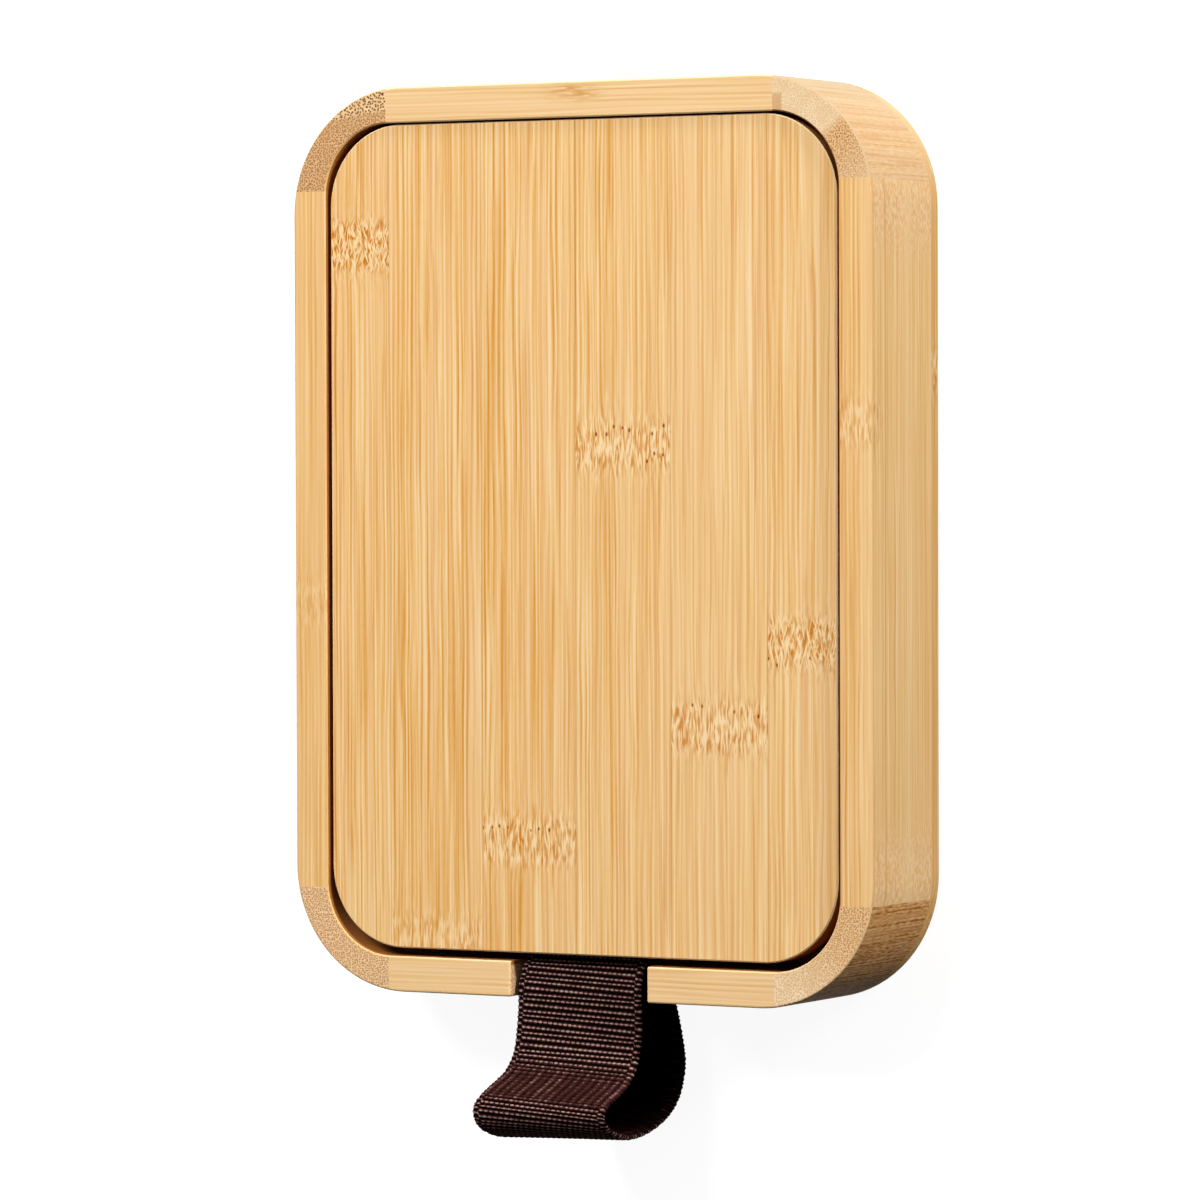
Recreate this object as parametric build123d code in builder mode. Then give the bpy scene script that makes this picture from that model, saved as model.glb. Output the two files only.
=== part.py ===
from build123d import *
import os
from math import asin, atan2, degrees, hypot, sqrt

# Brush box with a hinged lid and a webbing pull, lying on its back.
# Millimetres. The origin is the centre of the back face, +Z points out of the lid,
# +Y points to the hinge end and -Y to the end where the pull loop comes out.

# Frame
box_width = 123.0
box_length = 170.2
box_depth = 27.0
side_wall = 7.0
end_wall = 6.7
back_thickness = 3.3
outer_corner_radius = 23.6
inner_corner_radius = 13.8
corner_block_width = 20.4
corner_block_length = 19.2
frame_ease = 0.4
frame_inner_chamfer = 0.25
back_chamfer = 0.6
notch_width = 29.0
notch_ease = 0.5

# Lid
lid_thickness = 5.0
lid_recess = 0.8
lid_side_gap = 0.7
lid_hinge_gap = 0.3
lid_pull_gap = 1.55
lid_corner_radius = 15.2
lid_chamfer = 0.25
left_strip_width = 12.9
right_strip_width = 14.3
full_strips = 4

# Pivot pins
pivot_inset = 18.0
pin_diameter = 2.5
pin_in_lid = 10.0
pin_in_rail = 4.5
pin_end_gap = 0.5
pin_running_clearance = 0.05
lid_stop_clearance = 0.6

# Lid rests and magnet catch
rest_width = 9.0
rest_length = 12.0
rest_from_lid_end = 20.0
rest_gap = 0.15
rest_chamfer = 0.5
magnet_diameter = 5.0
magnet_thickness = 2.0
magnet_clearance = 0.05

# Webbing pull
strap_width = 25.0
strap_thickness = 1.3
strap_layer_gap = 0.1
strap_x = -1.0
strap_under_lid = 20.0
plate_width = 22.0
plate_length = 9.0
plate_thickness = 1.2
plate_corner_radius = 1.5
plate_from_strap_end = 2.2
screw_spacing = 14.0
screw_diameter = 2.2
screw_in_lid = 3.2
screw_clearance = 0.05
screw_head_diameter = 4.2
screw_head_height = 1.3
screw_head_chamfer = 0.5
screw_recess_length = 2.4
screw_recess_width = 0.6
screw_recess_depth = 0.7

# Shape of the loop outside the box: how far each bend of its centre line lies from the
# box's strap end (out) and from its front face (back, negative in front of it).
loop_bends = [
    # out, back, bend radius
    (-2.6, 2.45, 6.0),
    (12.6, 2.1, 5.5),
    (17.5, -13.9, 2.4),
    (23.9, -12.9, 2.4),
    (25.8, 4.0, 30.0),
    (22.2, 18.9, 9.0),
    (11.5, 20.8, 14.0),
    (-2.5, 14.9, 30.0),
]
lid_edge_bend = 1.5
tail_bend = 12.0
tail_bend_from_lid_end = 5.3
lid_edge_clearance = 0.5

# Places worked out from the sizes above
front_z = box_depth
hinge_end_y = box_length / 2
strap_end_y = -box_length / 2
opening_width = box_width - 2 * side_wall
opening_length = box_length - 2 * end_wall
rail_depth = box_depth - back_thickness
joint_x = box_width / 2 - corner_block_width
joint_y = box_length / 2 - corner_block_length

lid_width = opening_width - 2 * lid_side_gap
lid_length = opening_length - lid_hinge_gap - lid_pull_gap
lid_top_z = front_z - lid_recess
lid_under_z = lid_top_z - lid_thickness
lid_hinge_edge_y = opening_length / 2 - lid_hinge_gap
lid_strap_edge_y = -opening_length / 2 + lid_pull_gap
lid_centre_y = (lid_hinge_edge_y + lid_strap_edge_y) / 2

pivot_y = lid_hinge_edge_y - pivot_inset
pivot_z = lid_top_z - lid_thickness / 2
pin_length = pin_in_lid + lid_side_gap + pin_in_rail
pin_start_x = lid_width / 2 - pin_in_lid

rest_x = opening_width / 2 - rest_width / 2
rest_y = lid_strap_edge_y + rest_from_lid_end
rest_top_z = lid_under_z - rest_gap

strap_tail_y = lid_strap_edge_y + strap_under_lid
strap_stack = 2 * strap_thickness + strap_layer_gap
plate_top_z = lid_under_z - strap_stack
plate_y = strap_tail_y - plate_from_strap_end - plate_length / 2
screw_seat_z = plate_top_z - plate_thickness
screw_length = plate_thickness + strap_stack + screw_in_lid
screw_places = [(strap_x + side * screw_spacing / 2, plate_y) for side in (-1, 1)]

SIDES = {"left": -1, "right": 1}
ENDS = {"bottom": -1, "top": 1}

os.makedirs("parts", exist_ok=True)


def save(piece, name):
    """Label a finished piece and write it."""
    piece.part.label = name
    export_step(piece.part, f"parts/{name}.step")


def span(low, high):
    """Centre and size of a stretch along one axis."""
    return (low + high) / 2, high - low


def cut_to_box(x_range, y_range):
    """Keep only what lies in the given stretches of X and Y, over the full depth."""
    x_middle, x_size = span(*x_range)
    y_middle, y_size = span(*y_range)
    with Locations((x_middle, y_middle, box_depth / 2)):
        Box(x_size, y_size, 2 * box_depth, mode=Mode.INTERSECT)


# Frame: one rounded ring, sawn into rails and corner blocks

with BuildPart() as ring:
    with BuildSketch(Plane.XY.offset(back_thickness)):
        RectangleRounded(box_width, box_length, outer_corner_radius)
        RectangleRounded(opening_width, opening_length, inner_corner_radius, mode=Mode.SUBTRACT)
    extrude(amount=rail_depth)
    front_face = ring.faces().sort_by(Axis.Z)[-1]
    fillet(front_face.outer_wire().edges(), frame_ease)
    front_face = ring.faces().sort_by(Axis.Z)[-1]
    chamfer(front_face.inner_wires()[0].edges(), frame_inner_chamfer)

with BuildPart() as rail_top:
    add(ring.part)
    cut_to_box((-joint_x, joint_x), (0, hinge_end_y))
save(rail_top, "rail_top")

for side_name, side in SIDES.items():
    with BuildPart() as side_rail:
        add(ring.part)
        cut_to_box(sorted((0, side * box_width / 2)), (-joint_y, joint_y))
        bore_mouth = Plane((side * opening_width / 2, pivot_y, pivot_z), z_dir=(side, 0, 0))
        with BuildSketch(bore_mouth):
            Circle(pin_diameter / 2 + pin_running_clearance)
        extrude(amount=pin_in_rail + pin_end_gap, mode=Mode.SUBTRACT)
    save(side_rail, f"rail_{side_name}")

for side_name, side in SIDES.items():
    with BuildPart() as notched_rail:
        add(ring.part)
        cut_to_box(sorted((side * notch_width / 2, side * joint_x)), (strap_end_y, 0))
        notch_face = notched_rail.faces().sort_by(Axis.X)[0 if side > 0 else -1]
        inner_edge = notch_face.edges().sort_by(Axis.Y)[-1]
        back_edge = notch_face.edges().sort_by(Axis.Z)[0]
        eased_edges = notch_face.edges() - [inner_edge, back_edge]
        fillet(eased_edges, notch_ease)
    save(notched_rail, f"rail_bottom_{side_name}")

for end_name, end in ENDS.items():
    for side_name, side in SIDES.items():
        with BuildPart() as corner:
            add(ring.part)
            cut_to_box(
                sorted((side * joint_x, side * box_width / 2)),
                sorted((end * joint_y, end * box_length / 2)),
            )
        save(corner, f"corner_{end_name}_{side_name}")

with BuildPart() as back_board:
    with BuildSketch():
        RectangleRounded(box_width, box_length, outer_corner_radius)
    extrude(amount=back_thickness)
    back_face = back_board.faces().sort_by(Axis.Z)[0]
    chamfer(back_face.edges(), back_chamfer)
save(back_board, "back_board")


# Lid: one rounded panel with its bores and pockets, ripped into strips at its glue seams

with BuildPart() as panel:
    with BuildSketch(Plane.XY.offset(lid_under_z)):
        with Locations((0, lid_centre_y)):
            RectangleRounded(lid_width, lid_length, lid_corner_radius)
    extrude(amount=lid_thickness)
    lid_face = panel.faces().sort_by(Axis.Z)[-1]
    chamfer(lid_face.edges(), lid_chamfer)
    for side in SIDES.values():
        pin_seat = Plane((side * pin_start_x, pivot_y, pivot_z), z_dir=(side, 0, 0))
        with BuildSketch(pin_seat):
            Circle(pin_diameter / 2)
        extrude(amount=pin_in_lid, mode=Mode.SUBTRACT)
        with BuildSketch(Plane.XY.offset(lid_under_z)):
            with Locations((side * rest_x, rest_y)):
                Circle(magnet_diameter / 2 + magnet_clearance)
        extrude(amount=magnet_thickness, mode=Mode.SUBTRACT)
    with BuildSketch(Plane.XY.offset(lid_under_z)):
        with Locations(*screw_places):
            Circle(screw_diameter / 2)
    extrude(amount=screw_in_lid, mode=Mode.SUBTRACT)

first_seam_x = -lid_width / 2 + left_strip_width
last_seam_x = lid_width / 2 - right_strip_width
full_strip_width = (last_seam_x - first_seam_x) / full_strips
seams = [first_seam_x + full_strip_width * i for i in range(full_strips + 1)]
strip_edges = [-lid_width / 2, *seams, lid_width / 2]

for number, strip_range in enumerate(zip(strip_edges, strip_edges[1:]), start=1):
    with BuildPart() as strip:
        add(panel.part)
        cut_to_box(strip_range, (strap_end_y, hinge_end_y))
    save(strip, f"lid_strip_{number}")


# Pivot pins, pressed into the lid's edges and turning in the side rails

for side_name, side in SIDES.items():
    with BuildPart() as pin:
        pin_foot = Plane((side * pin_start_x, pivot_y, pivot_z), z_dir=(side, 0, 0))
        with BuildSketch(pin_foot):
            Circle(pin_diameter / 2)
        extrude(amount=pin_length)
    save(pin, f"hinge_pin_{side_name}")


# Lid rests on the back board, with the magnet catch

for side_name, side in SIDES.items():
    with BuildPart() as rest:
        with BuildSketch(Plane.XY.offset(back_thickness)):
            with Locations((side * rest_x, rest_y)):
                Rectangle(rest_width, rest_length)
        extrude(amount=rest_top_z - back_thickness)
        inner_face = rest.faces().sort_by(Axis.X)[0 if side > 0 else -1]
        chamfer(inner_face.edges().filter_by(Axis.Z), rest_chamfer)
        with BuildSketch(Plane.XY.offset(rest_top_z)):
            with Locations((side * rest_x, rest_y)):
                Circle(magnet_diameter / 2 + magnet_clearance)
        extrude(amount=-magnet_thickness, mode=Mode.SUBTRACT)
    save(rest, f"lid_rest_{side_name}")

    for holder, magnet_bottom_z in (("box", rest_top_z - magnet_thickness), ("lid", lid_under_z)):
        with BuildPart() as magnet:
            with BuildSketch(Plane.XY.offset(magnet_bottom_z)):
                with Locations((side * rest_x, rest_y)):
                    Circle(magnet_diameter / 2)
            extrude(amount=magnet_thickness)
        save(magnet, f"{holder}_magnet_{side_name}")


# Webbing pull: one length whose ends lie one on the other under the lid

first_layer_z = lid_under_z - strap_thickness / 2
second_layer_z = first_layer_z - strap_thickness - strap_layer_gap
lid_edge_bend_y = lid_strap_edge_y - lid_edge_clearance
tail_bend_y = lid_strap_edge_y + tail_bend_from_lid_end
loop_points = [(strap_end_y - out, front_z - back) for out, back, _ in loop_bends]
route_points = [
    (strap_tail_y, first_layer_z),
    (lid_edge_bend_y, first_layer_z),
    *loop_points,
    (tail_bend_y, second_layer_z),
    (strap_tail_y, second_layer_z),
]
route_radii = [lid_edge_bend, *[radius for _, _, radius in loop_bends], tail_bend]

with BuildPart() as strap:
    with BuildLine(Plane.YZ.offset(strap_x)) as route:
        FilletPolyline(*route_points, radius=route_radii)
    with BuildSketch(Plane((strap_x, strap_tail_y, first_layer_z), x_dir=(1, 0, 0), z_dir=(0, -1, 0))):
        Rectangle(strap_width, strap_thickness)
    sweep(path=route.wire())
    with BuildSketch(Plane.XY.offset(plate_top_z)):
        with Locations(*screw_places):
            Circle(screw_diameter / 2 + screw_clearance)
    extrude(amount=strap_stack, mode=Mode.SUBTRACT)
save(strap, "strap")

with BuildPart() as strap_plate:
    with BuildSketch(Plane.XY.offset(screw_seat_z)):
        with Locations((strap_x, plate_y)):
            RectangleRounded(plate_width, plate_length, plate_corner_radius)
        with Locations(*screw_places):
            Circle(screw_diameter / 2 + screw_clearance, mode=Mode.SUBTRACT)
    extrude(amount=plate_thickness)
save(strap_plate, "strap_plate")

for side_name, (screw_x, screw_y) in zip(SIDES, screw_places):
    with BuildPart() as screw:
        with BuildSketch(Plane((screw_x, screw_y, screw_seat_z))):
            Circle(screw_diameter / 2)
        extrude(amount=screw_length)
        with BuildSketch(Plane((screw_x, screw_y, screw_seat_z))):
            Circle(screw_head_diameter / 2)
        extrude(amount=-screw_head_height)
        head_rim = screw.edges().filter_by(GeomType.CIRCLE).sort_by(Axis.Z)[0]
        chamfer(head_rim, screw_head_chamfer)
        with BuildSketch(Plane((screw_x, screw_y, screw_seat_z - screw_head_height))):
            Rectangle(screw_recess_length, screw_recess_width)
            Rectangle(screw_recess_width, screw_recess_length)
        extrude(amount=screw_recess_depth, mode=Mode.SUBTRACT)
    save(screw, f"strap_screw_{side_name}")


# Opening angle: the lid's front face, at its side edge, meets the rounded inner edge of the
# corner block at the hinge end

arc_centre_x = opening_width / 2 - inner_corner_radius
arc_centre_y = opening_length / 2 - inner_corner_radius
stop_y = arc_centre_y + sqrt(inner_corner_radius**2 - (lid_width / 2 - arc_centre_x) ** 2)
stop_reach_y = stop_y - pivot_y
stop_reach_z = front_z - pivot_z
stop_angle = degrees(atan2(stop_reach_z, stop_reach_y))
face_offset = lid_thickness / 2 + lid_stop_clearance
lean_angle = degrees(asin(face_offset / hypot(stop_reach_y, stop_reach_z)))

print("pivot", pivot_y, pivot_z, "opens to", round(180 - stop_angle - lean_angle, 1), "degrees")
print("strap length", round(route.wire().length, 1))
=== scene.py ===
import math

import bpy
import numpy as np
from mathutils import Matrix, Vector


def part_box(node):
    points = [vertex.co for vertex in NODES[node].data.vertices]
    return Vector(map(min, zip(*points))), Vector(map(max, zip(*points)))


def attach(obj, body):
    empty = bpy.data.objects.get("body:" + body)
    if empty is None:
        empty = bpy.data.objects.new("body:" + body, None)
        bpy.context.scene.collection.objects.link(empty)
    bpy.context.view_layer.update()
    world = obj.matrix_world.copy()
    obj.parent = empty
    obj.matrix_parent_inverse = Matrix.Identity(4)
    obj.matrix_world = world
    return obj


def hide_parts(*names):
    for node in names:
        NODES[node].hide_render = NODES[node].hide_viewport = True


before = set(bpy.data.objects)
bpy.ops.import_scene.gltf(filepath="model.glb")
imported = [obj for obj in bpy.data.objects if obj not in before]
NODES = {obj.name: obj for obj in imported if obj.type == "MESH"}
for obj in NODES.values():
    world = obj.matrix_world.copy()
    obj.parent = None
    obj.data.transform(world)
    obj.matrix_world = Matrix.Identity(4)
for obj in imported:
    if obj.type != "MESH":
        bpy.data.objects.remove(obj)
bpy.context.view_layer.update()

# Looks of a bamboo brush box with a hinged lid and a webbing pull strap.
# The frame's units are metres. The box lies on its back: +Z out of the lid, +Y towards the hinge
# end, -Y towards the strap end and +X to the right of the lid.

MM = 0.001

# ---------------------------------------------------------------- places read from the frame
STRIPS = [f"lid_strip_{i}" for i in range(1, 7)]
STRAP_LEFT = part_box("strap")[0].x
STRAP_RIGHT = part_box("strap")[1].x


# ---------------------------------------------------------------- colours
def srgb(red, green, blue):
    """A linear colour from the 0-255 values that a screen shows."""
    def linear(value):
        value = value / 255
        return value / 12.92 if value <= 0.04045 else ((value + 0.055) / 1.055) ** 2.4
    return (linear(red), linear(green), linear(blue), 1.0)


LID_TONES = {
    "dark": srgb(214, 146, 58),
    "tan": srgb(228, 171, 94),
    "middle": srgb(236, 189, 122),
    "light": srgb(241, 201, 142),
    "pale": srgb(246, 214, 164),
    "blush": srgb(238, 191, 136),
}
RAIL_TONES = {
    "dark": srgb(212, 148, 68),
    "tan": srgb(227, 174, 102),
    "middle": srgb(234, 187, 122),
    "light": srgb(239, 197, 136),
    "pale": srgb(245, 211, 158),
    "blush": srgb(235, 187, 132),
    # Painted shade on dull eased edges.
    "worn": srgb(214, 170, 114),
    "chip_dark": srgb(224, 170, 106),
    "chip_pale": srgb(246, 207, 162),
}
CROSS_RAIL_TONES = {
    "dark": srgb(212, 156, 88),
    "tan": srgb(230, 185, 124),
    "middle": srgb(238, 198, 142),
    "light": srgb(243, 206, 154),
    "pale": srgb(248, 216, 170),
    "blush": srgb(239, 198, 148),
}
SIDE_TONES = {
    "dark": srgb(200, 148, 88),
    "tan": srgb(222, 176, 122),
    "middle": srgb(231, 190, 140),
    "light": srgb(236, 197, 150),
    "pale": srgb(240, 208, 166),
    "blush": srgb(229, 189, 147),
    # Painted shade on dull eased edges.
    "worn": srgb(202, 171, 133),
    "ashen": srgb(212, 189, 154),
}
BACK_TONES = {
    "dark": srgb(196, 132, 56),
    "tan": srgb(214, 158, 86),
    "middle": srgb(222, 172, 104),
    "light": srgb(228, 182, 118),
    "pale": srgb(242, 208, 158),
    "blush": srgb(222, 172, 110),
}
SHADED_TONES = {
    "dark": srgb(152, 100, 54),
    "tan": srgb(187, 131, 74),
    "middle": srgb(206, 152, 94),
    "light": srgb(218, 166, 109),
    "pale": srgb(232, 184, 126),
    "blush": srgb(208, 154, 101),
}
# The cut end of the culm: the bundles of fibre as dots, and what lies between them.
BROWN_CUT = {
    "fine_dot": srgb(152, 104, 54),
    "fine": srgb(226, 180, 130),
    "coarse_dot": srgb(100, 60, 20),
    "coarse": srgb(246, 207, 155),
    "cloud": srgb(196, 148, 98),
}
SANDY_CUT = {
    "fine_dot": srgb(172, 124, 74),
    "fine": srgb(244, 204, 157),
    "coarse_dot": srgb(132, 90, 42),
    "coarse": srgb(244, 204, 156),
    "cloud": srgb(220, 174, 124),
}
FADING_CUT = {
    "fine_dot": srgb(170, 118, 64),
    "fine": srgb(238, 195, 144),
    "coarse_dot": srgb(224, 184, 136),
    "coarse": srgb(250, 224, 186),
    "cloud": srgb(222, 178, 128),
}
PALE_CUT = {
    "fine_dot": srgb(220, 184, 138),
    "fine": srgb(242, 214, 174),
    "coarse_dot": srgb(172, 112, 50),
    "coarse": srgb(230, 187, 134),
    "cloud": srgb(222, 182, 132),
}
KNOT_DARK = srgb(200, 120, 14)
KNOT_PALE = srgb(252, 225, 177)
KNOT_PIT = srgb(112, 42, 0)
# Painted highlight on pale eased edges.
PAINTED_EDGE_HIGHLIGHT = srgb(255, 224, 172)
# Painted shade on the walls of the opening and on the lid's sides.
WALL_SHADE = srgb(152, 84, 22)
# Painted shade deep in the gaps.
CREVICE_SHADE = srgb(164, 76, 6)
SEAM = srgb(180, 118, 52)
# The webbing: black in the grooves, which is painted shade, the yarn's body, and the bead tops, paler
# partly by the yarn's colour and partly by painted sheen.
YARN_GROOVE_SHADE = srgb(4, 0, 0)
YARN_BODY = srgb(58, 29, 26)
YARN_TOP = srgb(172, 139, 130)
YARN_OLIVE = srgb(168, 144, 126)
YARN_ROSE = srgb(174, 134, 134)
STEEL = srgb(196, 196, 198)
TARNISH = srgb(150, 150, 152)
NICKEL = srgb(208, 204, 196)
BRONZE = srgb(104, 84, 62)


# ---------------------------------------------------------------- node trees
class Tree:
    """A short way to write the node tree of a material or of the world."""

    def __init__(self, owner):
        owner.use_nodes = True
        self.owner = owner
        self.tree = owner.node_tree
        self.tree.nodes.clear()

    def node(self, kind, inputs=None, **settings):
        made = self.tree.nodes.new("ShaderNode" + kind)
        for key, value in settings.items():
            setattr(made, key, value)
        for key, value in (inputs or {}).items():
            self.feed(made.inputs[key], value)
        return made

    def feed(self, socket, value):
        if isinstance(value, bpy.types.NodeSocket):
            self.tree.links.new(value, socket)
        else:
            socket.default_value = value

    def math(self, operation, a, b=0.0, c=0.0, clamp=False):
        inputs = {0: a, 1: b, 2: c} if operation == "MULTIPLY_ADD" else {0: a, 1: b}
        return self.node("Math", inputs, operation=operation, use_clamp=clamp).outputs[0]

    def vector(self, x, y, z):
        return self.node("CombineXYZ", {0: x, 1: y, 2: z}).outputs[0]

    def split(self, vector):
        return list(self.node("SeparateXYZ", {0: vector}).outputs)

    def noise(self, vector, scale, detail, roughness=0.5):
        inputs = {"Vector": vector, "Scale": scale, "Detail": detail, "Roughness": roughness}
        return self.node("TexNoise", inputs, noise_dimensions="3D").outputs[0]

    def cells(self, vector, scale):
        """How far a place lies from the nearest of a field of points, in the X and Y of vector."""
        inputs = {"Vector": vector, "Scale": scale, "Randomness": 0.8}
        made = self.node("TexVoronoi", inputs, voronoi_dimensions="2D", feature="F1")
        return made.outputs["Distance"]

    def ramp(self, factor, stops):
        made = self.node("ValToRGB", {0: factor})
        elements = made.color_ramp.elements
        while len(elements) < len(stops):
            elements.new(0.5)
        for element, (position, colour) in zip(elements, stops):
            element.position = position
            element.color = colour
        return made.outputs[0]

    def step(self, value, low, high):
        """0 below low, 1 above high and a smooth rise between them."""
        inputs = {"Value": value, "From Min": low, "From Max": high}
        made = self.node("MapRange", inputs, interpolation_type="SMOOTHSTEP")
        return made.outputs[0]

    def mix(self, factor, a, b):
        return self.node("Mix", {0: factor, 6: a, 7: b}, data_type="RGBA").outputs[2]

    def bell(self, value, middle, width):
        """1 at the middle, and e^-1 one width away from it."""
        away = self.math("DIVIDE", self.math("SUBTRACT", value, middle), width)
        return self.math("EXPONENT", self.math("MULTIPLY", self.math("MULTIPLY", away, away), -1.0))

    def bump(self, height, distance, strength):
        inputs = {"Height": height, "Distance": distance, "Strength": strength}
        return self.node("Bump", inputs).outputs[0]

    def surface(self, **inputs):
        """Ends the tree in one Principled shader. Socket names have _ for their spaces."""
        named = {key.replace("_", " "): value for key, value in inputs.items()}
        shader = self.node("BsdfPrincipled", named)
        out = self.node("OutputMaterial", {0: shader.outputs[0]})
        out.is_active_output = True
        return self.owner


# ---------------------------------------------------------------- bamboo
X, Y, Z = 0, 1, 2


class Place:
    """Where a point of a bamboo piece lies, in millimetres of the frame, and how its face is turned.

    along is its place along the grain, first and second those across it, and across and through the
    same two as the grain strays. shift sets the noise of one piece apart from that of the others.
    """

    def __init__(self, t, grain, seed):
        coordinates = t.node("TexCoord").outputs
        millimetres = t.node("VectorMath", {0: coordinates["Object"], 1: (1 / MM,) * 3},
                             operation="MULTIPLY").outputs[0]
        self.axes = t.split(millimetres)
        self.normal = t.split(coordinates["Normal"])
        self.facing = [t.math("ABSOLUTE", part) for part in self.normal]
        self.along = self.axes[grain]
        self.first, self.second = [self.axes[i] for i in range(3) if i != grain]
        self.across, self.through = self.first, self.second
        self.shift = 31.7 * seed

    def scaled(self, t, wide, long):
        """A place for noise that is scaled by wide across the grain and by long along it."""
        return t.vector(t.math("MULTIPLY_ADD", self.across, wide, self.shift),
                        t.math("MULTIPLY", self.along, long),
                        t.math("MULTIPLY", self.through, wide))

    def stray(self, t, reach):
        """Lets the grain stray sideways: a little everywhere, and more where reach is 1."""
        slow = t.vector(t.math("MULTIPLY", self.first, 0.22),
                        t.math("MULTIPLY_ADD", self.along, 0.03, self.shift),
                        t.math("MULTIPLY", self.second, 0.22))
        drift = t.math("MULTIPLY", t.math("SUBTRACT", t.noise(slow, 1.0, 1.0), 0.5), 0.7)
        swirl = t.math("SUBTRACT", t.noise(self.scaled(t, 0.85, 0.21), 1.0, 0.8), 0.5)
        wander = t.math("ADD", drift, t.math("MULTIPLY", swirl, t.math("MULTIPLY", reach, 0.9)))
        self.across = t.math("ADD", self.first, wander)
        self.through = t.math("ADD", self.second, wander)


def fibres(t, at, tones, contrast, dashed, pitch):
    """Long straight streaks about pitch millimetres apart. Gives their colour and level, 0 to 1.

    dashed is how strongly short dashes cross the streaks.
    """
    place = at.scaled(t, 1.0, 0.008)
    fine = t.noise(place, 2.3, 1.0, 0.7)
    broad = t.noise(place, 0.40, 0.0)
    waver = t.math("MULTIPLY", t.noise(place, 0.55, 0.0), 9.0)
    sideways = t.math("ADD", at.across, at.through)
    comb = t.math("SINE", t.math("MULTIPLY_ADD", sideways, math.tau / pitch, waver))
    dashes = t.noise(at.scaled(t, 3.4, 0.60), 1.0, 0.0)
    level = t.math("MULTIPLY", t.math("SUBTRACT", fine, 0.5), 2.0)
    level = t.math("MULTIPLY_ADD", comb, 0.19, level)
    level = t.math("MULTIPLY_ADD", t.math("SUBTRACT", broad, 0.5), 0.22, level)
    level = t.math("MULTIPLY_ADD", t.math("SUBTRACT", dashes, 0.5), dashed, level)
    level = t.math("MULTIPLY_ADD", level, contrast, 0.54, clamp=True)
    colour = t.ramp(level, [(0.05, tones["dark"]), (0.28, tones["tan"]), (0.50, tones["middle"]),
                            (0.72, tones["light"]), (0.95, tones["pale"])])
    blush = t.step(t.noise(place, 0.6, 0.0), 0.47, 0.66)
    colour = t.mix(t.math("MULTIPLY", blush, 0.40), colour, tones["blush"])
    smudge = t.step(t.noise(at.scaled(t, 0.9, 0.03), 1.0, 1.0), 0.60, 0.80)
    return t.mix(t.math("MULTIPLY", smudge, 0.16), colour, tones["dark"]), level


def chips(t, at, colour, tones, broken):
    """Side faces cut askew to the grain, over the stretch broken away from the middle."""
    askew = t.math("MULTIPLY", t.step(t.math("ABSOLUTE", at.along), *broken), at.facing[X])
    place = t.vector(t.math("MULTIPLY", at.across, 2.6),
                     t.math("MULTIPLY_ADD", at.along, 0.9, at.shift),
                     t.math("MULTIPLY", at.through, 2.6))
    pale = t.step(t.noise(place, 1.0, 1.0), 0.38, 0.62)
    chip = t.mix(pale, tones["chip_dark"], tones["chip_pale"])
    return t.mix(t.math("MULTIPLY", askew, 0.8), colour, chip)


def stain(t, at, colour, tones, x, y, wide, tall, amount):
    """A dark spot mottled along the grain of a rail that runs along X."""
    streaky = t.vector(t.math("MULTIPLY", at.axes[X], 0.30), t.math("MULTIPLY", at.axes[Y], 2.2),
                       at.axes[Z])
    mottle = t.step(t.noise(streaky, 1.0, 1.0), 0.35, 0.62)
    spot = t.math("MULTIPLY", t.bell(at.axes[X], x, wide), t.bell(at.axes[Y], y, tall))
    spot = t.math("MULTIPLY", spot, mottle)
    return t.mix(t.math("MULTIPLY", spot, amount), colour, tones["dark"])


def knot_band(t, at, knots, depth):
    """How much a place belongs to a node of the culm, with ragged ends, and how near one it lies.

    depth is the stretch of Z over which the nodes rise to the front face, or None.
    """
    band, reach = 0.0, 0.0
    ragged = t.math("SUBTRACT", t.noise(at.scaled(t, 1.3, 0.3), 1.0, 1.0), 0.5)
    ragged = t.math("MULTIPLY", ragged, 7.0)
    for place, strength in knots:
        if depth:
            strength = t.math("MULTIPLY", t.step(at.axes[Z], *depth), strength)
        away = t.math("ABSOLUTE", t.math("SUBTRACT", at.along, place))
        core = t.math("MULTIPLY", t.step(t.math("ADD", away, ragged), 6.3, 2.3), strength)
        halo = t.math("MULTIPLY", t.bell(at.along, place, 7.0), strength)
        band = t.math("MULTIPLY_ADD", halo, 0.22, t.math("ADD", core, band))
        reach = t.math("ADD", halo, reach)
    return band, reach


def knuckle(t, at, colour, relief, band, crossed):
    """Short strokes, pale over dark, where the strip crosses a node of the culm.

    crossed is how far the strokes lean to either side.
    """
    strokes = []
    for side in (1, -1):
        sheared = t.math("MULTIPLY_ADD", at.along, side * (0.05 + 0.26 * crossed), at.across)
        place = t.vector(t.math("MULTIPLY", sheared, 2.8),
                         t.math("MULTIPLY_ADD", at.along, 0.33 + 0.15 * crossed, at.shift + 9 * side),
                         t.math("MULTIPLY", at.through, 2.8))
        strokes.append(t.noise(place, 1.0, 0.5))
    stroke = t.math("MAXIMUM", *strokes)
    patchy = t.step(t.noise(at.scaled(t, 0.42, 0.30), 1.0, 1.0), 0.38, 0.60)
    patchy = t.math("MULTIPLY_ADD", patchy, 0.45, 0.55)
    dark_band = t.math("MULTIPLY", band, patchy)
    dark = t.math("MULTIPLY", t.step(stroke, 0.560, 0.45), dark_band, clamp=True)
    pale = t.math("MULTIPLY", t.step(stroke, 0.580, 0.68), band, clamp=True)
    colour = t.mix(t.math("MULTIPLY", dark, 0.74 + 0.22 * crossed), colour, KNOT_DARK)
    colour = t.mix(t.math("MULTIPLY", pale, 0.74), colour, KNOT_PALE)
    return colour, t.math("ADD", relief, t.math("MULTIPLY", t.math("SUBTRACT", pale, dark), 0.5))


PIT_PITCH = 1.7
PIT_SCATTER = 2.2


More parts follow.
